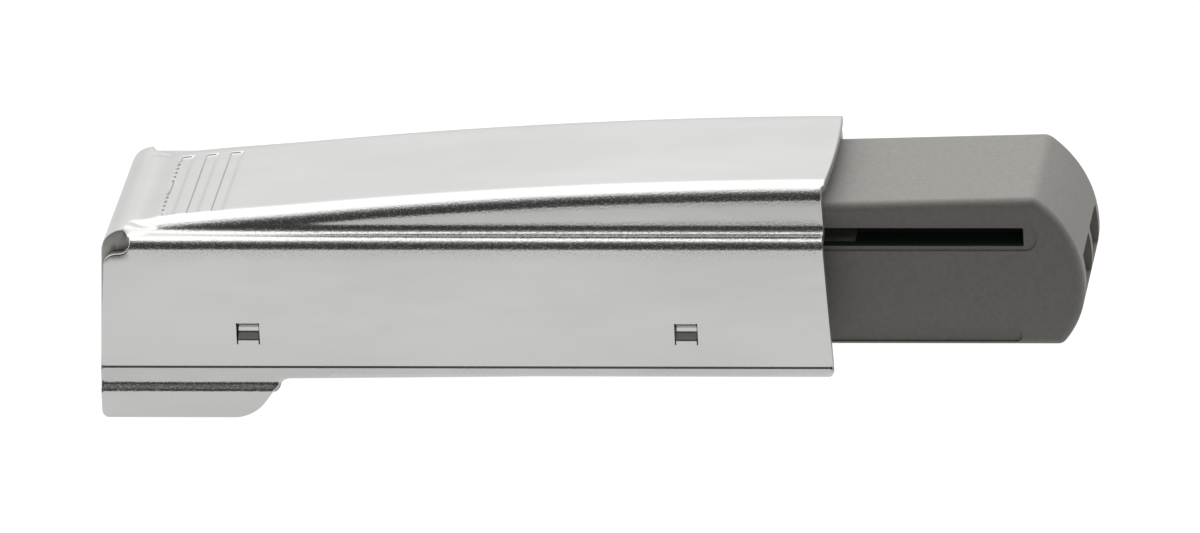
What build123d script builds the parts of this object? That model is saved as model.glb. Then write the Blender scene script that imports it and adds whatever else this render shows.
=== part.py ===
from build123d import *
import os
from math import acos, cos, hypot, radians, sin, sqrt, tan

# Soft close damper that clips onto the arm of a concealed cabinet hinge.
# A folded sheet steel housing, open underneath, carries a plastic plunger with
# a small fluid damper and a return spring.  The door pushes the plunger in.
#
# Frame, in millimetres: +X runs along the stroke towards the plunger's nose,
# +Z is up, Y = 0 is the middle plane.  The origin lies at the rear end of the
# housing, level with the crease along the bottom of its side walls.

# Housing sheet and overall size
sheet = 0.8
body_length = 60.2
body_width = 20.0
deck_height = 11.25
side_bend = 0.95
front_slant = 2.4
rear_slant = 3.3
# How far the cutting shapes reach past the sheet
beyond = 1.0

# Raised crown of the housing, which grows from nothing at the rear
crown_start = 3.0
crown_inset = 2.6
crown_bend = 1.0
crown_root = 0.35
riser_angle = 88.0
riser_share = 0.92
crown_rise = 3.9
crest_lead = 1.8
crown_first_rise = 0.1163
crown_stations = 8
crown_spacing = 1.6
front_margin = 1.0
tongue_step = 0.25
tongue_bulge = 0.25

# Rear roll and rear wall
roll_radius = 1.54
roll_x = 1.75
roll_rise = 0.49
roll_foot_x = 3.9
roll_overlap = 0.4
rear_wall_inset = 1.0
rear_wall_bottom = 1.7
relief_radius = 0.9
relief_drop = 1.35
rear_corner = 1.1

# Lip along the bottom and the two feet that straddle the hinge arm
lip_flare = 0.34
lip_drop = 1.26
lip_edge = 0.60
lip_taper = 0.25
lip_taper_x = 36.0
foot_joggle = 0.46
foot_joggle_drop = 0.49
foot_depth = 4.15
foot_length = 12.35
foot_rise = 2.55
foot_sweep = 3.4
foot_fillet = 1.2
foot_corner = 0.6
crease_radius = 0.5

# Pressed-in lances that hold the plastic parts up
lance_width = 1.9
lance_low = 2.0
lance_high = 3.9
lance_depth = 0.5
lance_upper_flank = 0.54
lance_flat = 0.37
lance_lower_flank = 0.57
lance_slit = 0.1
lance_root = 0.2
rear_lance_x = 11.2
front_lance_setback = 12.9

# Ribs pressed up across the rear of the crown
rib_count = 3
rib_first_x = 5.5
rib_pitch = 2.05
rib_width = 1.1
rib_margin = 0.6
rib_height = 0.15
rib_narrowing = 0.4
rib_draft = 30.0

# Plunger
travel = 16.5
plunger_reach = 20.55
plunger_floor_drop = 5.95
plunger_wall = 1.2
side_gap = 0.3
roof_gap = 1.0
top_draft = 1.5
tail_length = 14.0
nose_tip_height = 6.0
nose_upper_radius = 9.7
nose_lower_radius = 7.65
nose_crease_fillet = 1.2
nose_corner = 0.8
plunger_edge = 0.7
nose_block = 18.75
pocket_margin = 1.8
pocket_corner = 0.3
pocket_rib = 0.9
pocket_height = 3.4
pocket_depth = 1.6
pocket_z = 6.4

# Side slot, shallow panels and guides on the plunger
slot_drop = 2.15
slot_height = 1.6
slot_end = 4.85
slot_depth = 3.0
slot_corner = 0.1
panel_depth = 0.15
panel_above = 0.45
panel_below = 0.4
panel_end = 3.75
panel_corner = 1.0
groove_rise = 0.35
groove_height = 1.25
groove_end = 5.25
groove_depth = 0.25
groove_corner = 0.5
rail_gap = 0.15
rail_height = 1.2
rail_clearance = 0.3
arm_low = 3.0
arm_high = 9.0
stop_length = 2.1
rail_setback = 2.2

# Damper cartridge, spring and seat, on one axis
axis_drop = 4.45
cylinder_radius = 3.6
cylinder_wall = 0.7
cylinder_length = 33.0
cylinder_end_wall = 1.2
cylinder_chamfer = 0.4
socket_gap = 0.05
socket_length = 7.2
cap_thickness = 1.2
cap_plug = 1.6
cap_chamfer = 0.3
seal_length = 1.6
washer_length = 0.6
foam_length = 4.5
running_gap = 0.03
rod_radius = 1.0
rod_head_radius = 1.8
rod_head_length = 1.2
rod_tip_stub = 0.6
rod_tip_radius = 0.7
rod_tip_chamfer = 0.15
rod_head_chamfer = 0.25
piston_length = 3.4
piston_gap = 0.17
ring_length = 1.2
ring_depth = 0.55
ring_split = 0.3
port_count = 3
port_width = 0.7
port_depth = 0.35
clip_thickness = 0.4
clip_radius = 1.5
foam_gap = 0.3
spring_wire = 0.6
spring_clearance = 0.3
spring_turns = 7
spring_facets = 5
seat_spigot = 2.0
spigot_gap = 0.15

# Rear seat (carrier) inside the housing
carrier_back = 1.7
carrier_front = 14.4
carrier_gap = 0.1
carrier_chamfer = 0.4
carrier_floor = 0.6
carrier_wall = 1.3
carrier_boss_half = 3.2
core_corner = 0.8
recess_gap = 0.3
head_pocket_x = 7.0
head_gap = 0.1

half_width = body_width / 2
crown_half = half_width - crown_inset
crown_full = crown_bend + crown_root
crest_height = deck_height + crown_rise
crest_x = body_length + crest_lead
crest_radius = (crest_x - crown_start) ** 2 / (2 * (crown_rise - crown_first_rise))
roll_height = deck_height + roll_rise
relief_floor = deck_height - relief_drop
rear_wall_half = half_width - rear_wall_inset
rib_half_length = crown_half - rib_margin
front_lance_x = body_length - front_lance_setback
inner_half = half_width - sheet
axis_height = deck_height - axis_drop
plunger_floor = axis_height - plunger_floor_drop
plunger_half = crown_half + crown_bend - sheet - side_gap
plunger_top = crest_height - sheet - roof_gap
tail_x = body_length - tail_length
nose_x = body_length + plunger_reach
slot_high = plunger_top - slot_drop
slot_low = slot_high - slot_height
panel_low = slot_low - panel_below
panel_high = slot_high + panel_above
groove_low = plunger_floor + groove_rise
groove_high = groove_low + groove_height
pocket_half_span = plunger_half - pocket_margin
lance_back = half_width - lance_depth - sheet
seat_x = nose_x - nose_block
arm_back = carrier_front + travel + rail_clearance
bore_radius = cylinder_radius - cylinder_wall
cylinder_back = seat_x + socket_length - cylinder_length
spring_inner = cylinder_radius + spring_clearance
head_x = head_pocket_x + head_gap
damper_axis = Axis((0, 0, axis_height), (1, 0, 0))


def roof(x):
    """Height of the crown's outer skin at x."""
    return crest_height - (x - crest_x) ** 2 / (2 * crest_radius)


def section_plane(x):
    """Plane across the housing at x, with local axes along Y and Z."""
    return Plane(origin=(x, 0, 0), x_dir=(0, 1, 0), z_dir=(1, 0, 0))


def axis_plane(x):
    """Plane across the damper's own axis at x."""
    return Plane(origin=(x, 0, axis_height), x_dir=(0, 1, 0), z_dir=(1, 0, 0))


def crown_section(x, inset, bottom):
    """Housing section at x: the outer skin, or the inner one at inset = sheet."""
    rise = roof(x) - deck_height
    turn = min(riser_share * rise / crown_full, 1 - cos(radians(riser_angle)))
    angle = acos(1 - turn)
    straight = (rise - crown_full * turn) / sin(angle)
    root_y = crown_half + crown_full * sin(angle) + straight * cos(angle)
    root_radius = crown_root + inset
    bend_radius = crown_bend - inset
    wall = half_width - inset
    deck = deck_height - inset
    edge_radius = side_bend - inset
    bend_start = (wall, deck_height - side_bend)
    bend_end = (half_width - side_bend, deck)
    root_start = (root_y, deck)
    root_end = (
        root_y - root_radius * sin(angle),
        deck_height + crown_root - root_radius * cos(angle),
    )
    crown_low = (
        crown_half + bend_radius * sin(angle),
        roof(x) - crown_bend + bend_radius * cos(angle),
    )
    crown_high = (crown_half, roof(x) - inset)
    with BuildSketch(section_plane(x)) as profile:
        with BuildLine():
            Line((0, bottom), (wall, bottom))
            Line((wall, bottom), bend_start)
            RadiusArc(bend_start, bend_end, -edge_radius)
            Line(bend_end, root_start)
            RadiusArc(root_start, root_end, root_radius)
            Line(root_end, crown_low)
            RadiusArc(crown_low, crown_high, -bend_radius)
            Line(crown_high, (0, roof(x) - inset))
            mirror(about=Plane.YZ)
        make_face()
    return profile.sketch


def deck_section(x, inset, bottom):
    """Housing section behind the crown, with a flat deck."""
    wall = half_width - inset
    deck = deck_height - inset
    with BuildSketch(section_plane(x)) as profile:
        with BuildLine():
            Line((0, bottom), (wall, bottom))
            Line((wall, bottom), (wall, deck_height - side_bend))
            RadiusArc(
                (wall, deck_height - side_bend),
                (half_width - side_bend, deck),
                -(side_bend - inset),
            )
            Line((half_width - side_bend, deck), (0, deck))
            mirror(about=Plane.YZ)
        make_face()
    return profile.sketch


def station(index):
    """Section positions along the crown, closer together at its rear."""
    if index == crown_stations:
        return body_length + front_margin
    reach = body_length - front_margin - crown_start
    return crown_start + reach * (index / (crown_stations - 1)) ** crown_spacing


def rear_edge(z):
    """Slanted rear edge of the side walls."""
    return z * tan(radians(rear_slant))


def strip_section(x, points, radius):
    """Sheet strip across the section, given by its middle line and its bends."""
    with BuildSketch(section_plane(x)) as profile:
        with BuildLine():
            FilletPolyline(*points, radius=radius)
        trace(line_width=sheet)
        mirror(about=Plane.YZ)
    return profile.sketch


def crown_skin(inset, bottom):
    """Sections of one skin of the crown, from its start past the front."""
    return [crown_section(station(i), inset, bottom) for i in range(crown_stations + 1)]


with BuildPart() as housing:
    # Outer skin of the deck and crown, then the hollow under it
    deck_run = crown_start + beyond
    extrude(deck_section(-beyond, 0, 0), amount=deck_run)
    loft(crown_skin(0, 0), ruled=True)
    extrude(deck_section(-beyond, sheet, -beyond), amount=deck_run, mode=Mode.SUBTRACT)
    loft(crown_skin(sheet, -beyond), ruled=True, mode=Mode.SUBTRACT)

    # Flared lip with the joggled feet, along both sides
    mid_wall = half_width - sheet / 2
    lip_points = [
        (mid_wall, beyond),
        (mid_wall, 0),
        (mid_wall + lip_flare, -lip_drop),
        (mid_wall + lip_flare + foot_joggle, -lip_drop - foot_joggle_drop),
        (mid_wall + lip_flare + foot_joggle, -foot_depth - beyond),
    ]
    lip_run = body_length + 2 * beyond
    extrude(strip_section(-beyond, lip_points, crease_radius), amount=lip_run)

    # Side outline: slanted rear edge, foot with its swept front, long lip
    with BuildSketch(Plane.XZ) as outline:
        with BuildLine():
            foot_back = (rear_edge(-foot_depth), -foot_depth)
            foot_front = (foot_length, -foot_depth)
            foot_top = (foot_length + foot_rise, -lip_edge - lip_taper)
            lip_middle = (lip_taper_x, -lip_edge)
            lip_front = (body_length + 2 * beyond, -lip_edge)
            wall_top = (rear_edge(relief_floor), relief_floor)
            Polyline(
                foot_back,
                foot_front,
                foot_top,
                lip_middle,
                lip_front,
                (body_length + 2 * beyond, crest_height + beyond),
                (roll_x, crest_height + beyond),
                (roll_x, relief_floor),
                wall_top,
                close=True,
            )
        make_face()
        for corner, radius in (
            (foot_back, foot_corner),
            (foot_front, foot_sweep),
            (foot_top, foot_fillet),
            (wall_top, rear_corner),
        ):
            fillet(outline.vertices().sort_by_distance(corner)[0], radius)
    extrude(amount=half_width + 2 * beyond, both=True, mode=Mode.INTERSECT)

    # Slanted front edge, with the crown's edge standing a little further out
    with BuildSketch(Plane.XY) as front_cut:
        with BuildLine():
            tongue = body_length + tongue_step
            cut_half = half_width + 2 * beyond
            cut_end = body_length + half_width
            Line((body_length, -cut_half), (body_length, -crown_half))
            Line((body_length, -crown_half), (tongue, -crown_half))
            ThreePointArc(
                (tongue, -crown_half),
                (tongue + tongue_bulge, 0),
                (tongue, crown_half),
            )
            Line((tongue, crown_half), (body_length, crown_half))
            Line((body_length, crown_half), (body_length, cut_half))
            Line((body_length, cut_half), (cut_end, cut_half))
            Line((cut_end, cut_half), (cut_end, -cut_half))
            Line((cut_end, -cut_half), (body_length, -cut_half))
        make_face()
    front_lean = (-tan(radians(front_slant)), 0, 1)
    cut_rise = crest_height + 2 * beyond
    extrude(front_cut.sketch, amount=cut_rise, dir=front_lean, mode=Mode.SUBTRACT)
    down_lean = (tan(radians(front_slant)), 0, -1)
    extrude(front_cut.sketch, amount=foot_depth, dir=down_lean, mode=Mode.SUBTRACT)

    # Room for the rear roll, and the round reliefs at its two ends
    with BuildSketch(Plane.XY.offset(relief_floor)):
        Rectangle(2 * crown_start, 2 * rear_wall_half)
    extrude(amount=relief_drop + beyond, mode=Mode.SUBTRACT)
    for side in (1, -1):
        relief_plane = Plane(
            origin=(roll_x, side * (rear_wall_half + relief_radius / 2), deck_height - sheet / 2),
            z_dir=(0, side, 1),
        )
        with BuildSketch(relief_plane):
            Circle(relief_radius)
        extrude(amount=2 * beyond, both=True, mode=Mode.SUBTRACT)

    # Rear roll and rear wall, one strip that leaves the deck tangentially
    with BuildSketch(Plane.XZ) as roll_profile:
        with BuildLine() as roll_line:
            deck_middle = deck_height - sheet / 2
            bend = roll_radius - sheet / 2
            centre_z = roll_height - roll_radius
            run = roll_foot_x - roll_x
            lift = deck_middle - centre_z
            root = (run**2 + lift**2 - bend**2) / (2 * (bend - lift))
            reach = hypot(run, lift + root)
            meet = (
                roll_x + bend * run / reach,
                centre_z + bend * (lift + root) / reach,
            )
            lean = radians(rear_slant)
            wall_high = (roll_x - bend * cos(lean), centre_z + bend * sin(lean))
            drop = wall_high[1] - rear_wall_bottom
            wall_low = (wall_high[0] - drop * tan(lean), rear_wall_bottom)
            Line((roll_foot_x + roll_overlap, deck_middle), (roll_foot_x, deck_middle))
            RadiusArc((roll_foot_x, deck_middle), meet, root)
            RadiusArc(meet, wall_high, -bend)
            Line(wall_high, wall_low)
        trace(line_width=sheet)
    extrude(amount=rear_wall_half, both=True)

    # Pressed-in lances
    for lance_x in (rear_lance_x, front_lance_x):
        for side in (1, -1):
            with BuildSketch(Plane.XZ.offset(-side * (half_width - sheet - beyond))):
                with Locations((lance_x + lance_width / 2, (lance_low + lance_high) / 2)):
                    Rectangle(lance_width, lance_high - lance_low)
            extrude(amount=-side * (sheet + 2 * beyond), mode=Mode.SUBTRACT)
        upper_bend = lance_high - lance_upper_flank
        lower_bend = upper_bend - lance_flat
        lance_foot = lower_bend - lance_lower_flank
        face_steps = [
            (half_width, lance_high + lance_root),
            (half_width, lance_high),
            (half_width - lance_depth, upper_bend),
            (half_width - lance_depth, lower_bend),
            (half_width, lance_foot),
            (half_width, lance_low - lance_root),
        ]
        back_steps = [(y - sheet, z) for y, z in reversed(face_steps)]
        with BuildSketch(section_plane(lance_x + lance_slit)):
            with BuildLine():
                Polyline(*face_steps, *back_steps, close=True)
            make_face()
            mirror(about=Plane.YZ)
        extrude(amount=lance_width - 2 * lance_slit)

    # Ribs pressed up across the rear of the crown, hollow underneath
    for index in range(rib_count):
        rib_x = rib_first_x + index * rib_pitch
        slope = (crest_x - rib_x) / crest_radius
        rib_skins = ((0, 0, Mode.ADD), (-sheet, rib_narrowing, Mode.SUBTRACT))
        for height, narrowing, how in rib_skins:
            rib_plane = Plane(
                origin=(rib_x, 0, roof(rib_x) + height - rib_height),
                x_dir=(1, 0, slope),
                z_dir=(-slope, 0, 1),
            )
            with BuildSketch(rib_plane):
                Rectangle(rib_width - narrowing, 2 * rib_half_length - narrowing)
            extrude(amount=2 * rib_height, taper=rib_draft, mode=how)

with BuildPart() as plunger:
    # Side profile: flat underside, drafted top, nose of two arcs
    draft = tan(radians(top_draft))
    upper_x = nose_x - nose_upper_radius
    lower_x = nose_x - nose_lower_radius
    rise = plunger_top + (upper_x - body_length) * draft - nose_tip_height
    a = 1 + draft**2
    b = rise * draft
    c = rise**2 - nose_upper_radius**2
    crease_run = (-b + sqrt(b**2 - a * c)) / a
    crease = (upper_x + crease_run, nose_tip_height + rise + crease_run * draft)
    chin_drop = nose_tip_height - plunger_floor
    chin = (lower_x + sqrt(nose_lower_radius**2 - chin_drop**2), plunger_floor)
    tail_top = (tail_x, plunger_top - tail_length * draft)
    with BuildSketch(Plane.XZ) as side_view:
        with BuildLine():
            Line((tail_x, plunger_floor), chin)
            RadiusArc(chin, (nose_x, nose_tip_height), -nose_lower_radius)
            RadiusArc((nose_x, nose_tip_height), crease, -nose_upper_radius)
            Line(crease, tail_top)
            Line(tail_top, (tail_x, plunger_floor))
        make_face()
        for corner, radius in ((crease, nose_crease_fillet), (chin, nose_corner)):
            fillet(side_view.vertices().sort_by_distance(corner)[0], radius)
    extrude(amount=plunger_half, both=True)
    flanks = plunger.faces().filter_by(Axis.Y)
    rims = flanks.edges().filter_by(lambda edge: edge.center().X > tail_x + plunger_edge)
    fillet(rims, plunger_edge)

    # Cavity for the spring, and the socket that holds the damper cylinder
    cavity_half = plunger_half - plunger_wall
    cavity_low = plunger_floor + plunger_wall
    cavity_high = tail_top[1] - plunger_wall
    with BuildSketch(section_plane(tail_x)):
        with Locations((0, (cavity_low + cavity_high) / 2)):
            Rectangle(2 * cavity_half, cavity_high - cavity_low)
    extrude(amount=seat_x - tail_x, mode=Mode.SUBTRACT)
    with BuildSketch(axis_plane(seat_x)):
        Circle(cylinder_radius + socket_gap)
    extrude(amount=socket_length, mode=Mode.SUBTRACT)

    # Shallow panel round each side slot, the slot itself and the lower groove
    for side in (1, -1):
        for low, high, end, depth, corner in (
            (panel_low, panel_high, panel_end, panel_depth, panel_corner),
            (slot_low, slot_high, slot_end, slot_depth, slot_corner),
            (groove_low, groove_high, groove_end, groove_depth, groove_corner),
        ):
            length = nose_x - end - tail_x + corner
            with BuildSketch(Plane.XZ.offset(-side * (plunger_half - depth))):
                with Locations((tail_x - corner + length / 2, (low + high) / 2)):
                    RectangleRounded(length, high - low, corner)
            extrude(amount=-side * (depth + beyond), mode=Mode.SUBTRACT)

    # Two cored pockets in the nose, with a thin rib between them
    pocket_width = pocket_half_span - pocket_rib / 2
    with BuildSketch(section_plane(nose_x - pocket_depth)):
        with Locations(
            (-(pocket_rib + pocket_width) / 2, pocket_z),
            ((pocket_rib + pocket_width) / 2, pocket_z),
        ):
            RectangleRounded(pocket_width, pocket_height, pocket_corner)
    extrude(amount=pocket_depth + beyond, mode=Mode.SUBTRACT)

    # Guide arms behind the box, and the rails that ride above the front lances
    rail_low = lance_high + rail_clearance
    rail_half = inner_half - rail_gap
    stop_front = front_lance_x - rail_clearance
    for side in (1, -1):
        arm_y = side * (plunger_half - plunger_wall / 2)
        with BuildSketch(section_plane(arm_back)):
            with Locations((arm_y, (arm_low + arm_high) / 2)):
                Rectangle(plunger_wall, arm_high - arm_low)
        extrude(amount=tail_x - arm_back + plunger_wall)
        rail_y = side * (plunger_half + rail_half) / 2
        with BuildSketch(section_plane(arm_back)):
            with Locations((rail_y, rail_low + rail_height / 2)):
                Rectangle(rail_half - plunger_half, rail_height)
        extrude(amount=body_length - rail_setback - arm_back)
        with BuildSketch(section_plane(stop_front - stop_length)):
            with Locations((rail_y, (lance_low + rail_low) / 2)):
                Rectangle(rail_half - plunger_half, rail_low - lance_low)
        extrude(amount=stop_length)

with BuildPart() as carrier:
    # Moulded seat under the deck: block, spigot for the spring, cored underside
    carrier_half = inner_half - carrier_gap
    carrier_top = deck_height - sheet - carrier_gap
    carrier_middle = (carrier_floor + carrier_top) / 2
    with BuildSketch(section_plane(carrier_back)):
        with Locations((0, carrier_middle)):
            Rectangle(2 * carrier_half, carrier_top - carrier_floor)
    extrude(amount=carrier_front - carrier_back)
    chamfer(carrier.edges().filter_by(Axis.X), carrier_chamfer)
    with BuildSketch(axis_plane(carrier_front)):
        Circle(spring_inner - spigot_gap)
    extrude(amount=seat_spigot)
    recess_y = lance_back - 2 * carrier_gap
    core_outer = recess_y - carrier_wall
    core_width = core_outer - carrier_boss_half
    core_length = carrier_front - carrier_back - 2 * carrier_wall
    with BuildSketch(Plane.XY.offset(carrier_floor)):
        core_y = (core_outer + carrier_boss_half) / 2
        with Locations(
            ((carrier_back + carrier_front) / 2, core_y),
            ((carrier_back + carrier_front) / 2, -core_y),
        ):
            RectangleRounded(core_length, core_width, core_corner)
    extrude(amount=carrier_top - carrier_floor - carrier_wall, mode=Mode.SUBTRACT)

    # Recesses that take the rear lances
    for side in (1, -1):
        with BuildSketch(Plane.XZ.offset(-side * recess_y)):
            with Locations((rear_lance_x + lance_width / 2, (lance_low + lance_high) / 2)):
                Rectangle(
                    lance_width + 2 * recess_gap,
                    lance_high - lance_low + 2 * recess_gap,
                )
        extrude(amount=-side * (lance_depth + beyond), mode=Mode.SUBTRACT)

    # Keyhole for the rod and its head, open downwards for assembly
    head_room = rod_head_radius + head_gap
    rod_room = rod_radius + head_gap
    head_length = rod_head_length + 2 * head_gap
    for start, length, room in (
        (head_x - head_gap, head_length, head_room),
        (head_x, carrier_front + seat_spigot - head_x, rod_room),
    ):
        with BuildSketch(section_plane(start)):
            with Locations((0, axis_height)):
                Circle(room)
            with Locations((0, (axis_height + carrier_floor - beyond) / 2)):
                Rectangle(2 * room, axis_height - carrier_floor + beyond)
        extrude(amount=length, mode=Mode.SUBTRACT)

with BuildPart() as damper_cylinder:
    with BuildSketch(axis_plane(cylinder_back)):
        Circle(cylinder_radius)
    extrude(amount=cylinder_length)
    with BuildSketch(axis_plane(cylinder_back)):
        Circle(bore_radius)
    extrude(amount=cylinder_length - cylinder_end_wall, mode=Mode.SUBTRACT)
    chamfer(damper_cylinder.faces().sort_by(Axis.X)[-1].edges(), cylinder_chamfer)

with BuildPart() as cylinder_cap:
    with BuildSketch(axis_plane(cylinder_back - cap_thickness)):
        Circle(cylinder_radius)
    extrude(amount=cap_thickness)
    with BuildSketch(axis_plane(cylinder_back)):
        Circle(bore_radius)
    extrude(amount=cap_plug)
    with BuildSketch(axis_plane(cylinder_back - cap_thickness)):
        Circle(rod_radius + running_gap)
    extrude(amount=cap_thickness + cap_plug, mode=Mode.SUBTRACT)
    rim = cylinder_cap.faces().sort_by(Axis.X)[0].edges().sort_by(SortBy.RADIUS)[-1]
    chamfer(rim, cap_chamfer)

with BuildPart() as rod_seal:
    # Lip seal: a ring with a groove between its two lips, open to the fluid
    seal_x = cylinder_back + cap_plug
    seal_inner = rod_radius + running_gap
    seal_middle = (seal_inner + bore_radius) / 2
    with BuildSketch(Plane.XZ) as seal_profile:
        with BuildLine():
            Polyline(
                (seal_x, axis_height + seal_inner),
                (seal_x, axis_height + bore_radius),
                (seal_x + seal_length, axis_height + bore_radius),
                (seal_x + seal_length / 2, axis_height + seal_middle),
                (seal_x + seal_length, axis_height + seal_inner),
                close=True,
            )
        make_face()
    revolve(axis=damper_axis)

with BuildPart() as seal_washer:
    washer_x = seal_x + seal_length
    with BuildSketch(axis_plane(washer_x)):
        Circle(bore_radius - running_gap)
        Circle(rod_radius + 2 * running_gap, mode=Mode.SUBTRACT)
    extrude(amount=washer_length)

with BuildPart() as foam_sleeve:
    foam_x = washer_x + washer_length
    with BuildSketch(axis_plane(foam_x)):
        Circle(bore_radius - running_gap)
        Circle(rod_radius + foam_gap, mode=Mode.SUBTRACT)
    extrude(amount=foam_length)

with BuildPart() as piston_rod:
    # Headed rod with a thinner tip for the piston
    piston_x = foam_x + foam_length + foam_gap
    rod_end = piston_x + piston_length + clip_thickness + rod_tip_stub
    for start, end, radius in (
        (head_x, head_x + rod_head_length, rod_head_radius),
        (head_x, piston_x, rod_radius),
        (head_x, rod_end, rod_tip_radius),
    ):
        with BuildSketch(axis_plane(start)):
            Circle(radius)
        extrude(amount=end - start)
    chamfer(piston_rod.faces().sort_by(Axis.X)[-1].edges(), rod_tip_chamfer)
    chamfer(piston_rod.faces().sort_by(Axis.X)[0].edges(), rod_head_chamfer)

with BuildPart() as piston:
    piston_radius = bore_radius - piston_gap
    groove_x = piston_x + (piston_length - ring_length) / 2 - running_gap
    groove_radius = piston_radius - ring_depth
    with BuildSketch(axis_plane(piston_x)):
        Circle(piston_radius)
        Circle(rod_tip_radius, mode=Mode.SUBTRACT)
    extrude(amount=piston_length)
    with BuildSketch(axis_plane(groove_x)):
        Circle(piston_radius)
        Circle(groove_radius, mode=Mode.SUBTRACT)
    extrude(amount=ring_length + 2 * running_gap, mode=Mode.SUBTRACT)
    with BuildSketch(axis_plane(piston_x)):
        with PolarLocations(piston_radius, port_count):
            Rectangle(2 * port_depth, port_width)
    extrude(amount=piston_length, mode=Mode.SUBTRACT)

with BuildPart() as piston_ring:
    # Split ring, so that it can be opened over the piston
    with BuildSketch(axis_plane(groove_x + running_gap)):
        Circle(bore_radius - running_gap)
        Circle(groove_radius + running_gap, mode=Mode.SUBTRACT)
        with Locations((bore_radius, 0)):
            Rectangle(2 * (ring_depth + beyond), ring_split, mode=Mode.SUBTRACT)
    extrude(amount=ring_length)

with BuildPart() as rod_clip:
    # Push-on clip behind the piston, open at one side
    with BuildSketch(axis_plane(piston_x + piston_length)):
        Circle(clip_radius)
        Circle(rod_tip_radius, mode=Mode.SUBTRACT)
        with Locations((clip_radius, 0)):
            Rectangle(2 * clip_radius, rod_tip_radius, mode=Mode.SUBTRACT)
    extrude(amount=clip_thickness)

with BuildPart() as return_spring:
    spring_radius = spring_inner + spring_wire / 2
    spring_start = carrier_front + spring_wire / 2 + running_gap
    spring_length = seat_x - spring_wire / 2 - running_gap - spring_start
    with BuildLine() as coil:
        Helix(
            pitch=spring_length / spring_turns,
            height=spring_length,
            radius=spring_radius,
            center=(spring_start, 0, axis_height),
            direction=(1, 0, 0),
        )
    with BuildSketch(Plane(origin=coil.line @ 0, z_dir=coil.line % 0)):
        RegularPolygon(spring_wire / 2, spring_facets)
    sweep(path=coil.line, is_frenet=True)

pieces = {
    "housing": housing,
    "plunger": plunger,
    "carrier": carrier,
    "damper_cylinder": damper_cylinder,
    "cylinder_cap": cylinder_cap,
    "rod_seal": rod_seal,
    "seal_washer": seal_washer,
    "foam_sleeve": foam_sleeve,
    "piston_rod": piston_rod,
    "piston": piston,
    "piston_ring": piston_ring,
    "rod_clip": rod_clip,
    "return_spring": return_spring,
}

os.makedirs("parts", exist_ok=True)
for name, piece in pieces.items():
    piece.part.label = name
    export_step(piece.part, f"parts/{name}.step")
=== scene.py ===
from math import atan2, cos, hypot, pi, radians, sin, sqrt, tan

import bpy
import numpy as np
from mathutils import Matrix, Vector
from mathutils.geometry import delaunay_2d_cdt


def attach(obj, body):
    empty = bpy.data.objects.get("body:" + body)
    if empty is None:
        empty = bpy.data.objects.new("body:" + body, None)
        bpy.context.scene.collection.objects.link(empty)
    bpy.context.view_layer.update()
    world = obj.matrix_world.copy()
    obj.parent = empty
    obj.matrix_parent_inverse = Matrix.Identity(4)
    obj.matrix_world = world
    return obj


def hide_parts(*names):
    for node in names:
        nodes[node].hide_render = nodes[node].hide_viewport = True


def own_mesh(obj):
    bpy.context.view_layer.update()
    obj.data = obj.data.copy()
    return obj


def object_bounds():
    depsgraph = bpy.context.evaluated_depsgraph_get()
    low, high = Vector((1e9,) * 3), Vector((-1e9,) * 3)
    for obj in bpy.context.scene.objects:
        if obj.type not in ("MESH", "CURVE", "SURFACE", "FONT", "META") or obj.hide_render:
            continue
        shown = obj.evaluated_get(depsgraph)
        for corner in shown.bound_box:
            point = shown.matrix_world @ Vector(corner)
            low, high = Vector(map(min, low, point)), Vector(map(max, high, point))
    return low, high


# Soft close damper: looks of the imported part, in the part's own frame.
# Shapes are worked out in millimetres and turned into metres when they become meshes.
MM = 0.001

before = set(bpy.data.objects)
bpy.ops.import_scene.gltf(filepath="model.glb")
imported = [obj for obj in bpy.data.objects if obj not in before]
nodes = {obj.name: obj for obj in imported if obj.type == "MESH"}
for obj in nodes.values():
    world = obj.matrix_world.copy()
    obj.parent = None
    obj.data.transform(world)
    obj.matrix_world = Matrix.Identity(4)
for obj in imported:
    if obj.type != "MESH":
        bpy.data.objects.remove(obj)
cad_low, cad_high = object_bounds()

# Camera as in the photograph, worked out for a picture of 1200 by 533 pixels
PICTURE_WIDTH = 1200
LOOK_AT = Vector((41 * MM, 0, 6 * MM))
AZIMUTH = radians(7.75)
ELEVATION = radians(22.5)
ROLL = radians(2.92)
DISTANCE = 1366 * MM
PIXELS_PER_MM = 12.186
MOVED_RIGHT = 10.2
MOVED_UP = 13.7
SENSOR_WIDTH = 36.0

# Housing sheet
SHEET = 0.8
BODY_LENGTH = 60.2
HALF_WIDTH = 10.0
DECK = 11.25
SIDE_BEND = 0.9
FRONT_LEAN = tan(radians(2.4))
REAR_LEAN = radians(3.3)
CUT_ROUNDING = 0.12

# Crown that rises out of the deck: flat top, soft shoulder, tight shoulder, riser, root
CROWN_HALF = 6.54
SOFT_BEND = 2.08
SOFT_TURN = radians(42.5)
TIGHT_BEND = 1.04
CROWN_ROOT = 0.7
RISER_ANGLE = radians(88.5)
RISER_SHARE = 0.95
CREST = 15.32
CREST_X = 62.5
CREST_RADIUS = 482.0
ROOF_LIFT = 0.2
CROWN_FADE = (2.0, 5.0)
TONGUE_HALF = 7.6
TONGUE_STEP = 0.25
TONGUE_BULGE = 0.25

# Rear roll, rear wall and the notches at its ends
ROLL_RADIUS = 1.95
ROLL_X = 2.2
ROLL_Z = 9.79
ROLL_FOOT = 4.9
ROLL_FOOT_RADIUS = 5.73
ROLL_HALF = 9.0
ROLL_FILL = 1.0
REAR_WALL_BOTTOM = 0.35
REAR_WALL_CORNER = 0.5
NOTCH_END = 2.72
NOTCH_RADIUS = 0.85
NOTCH_LOW = 10.07
WALL_REAR = -0.2
WALL_LEAN = tan(radians(4.6))
WALL_TOP = 9.93
WALL_CORNER = 1.1

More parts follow.
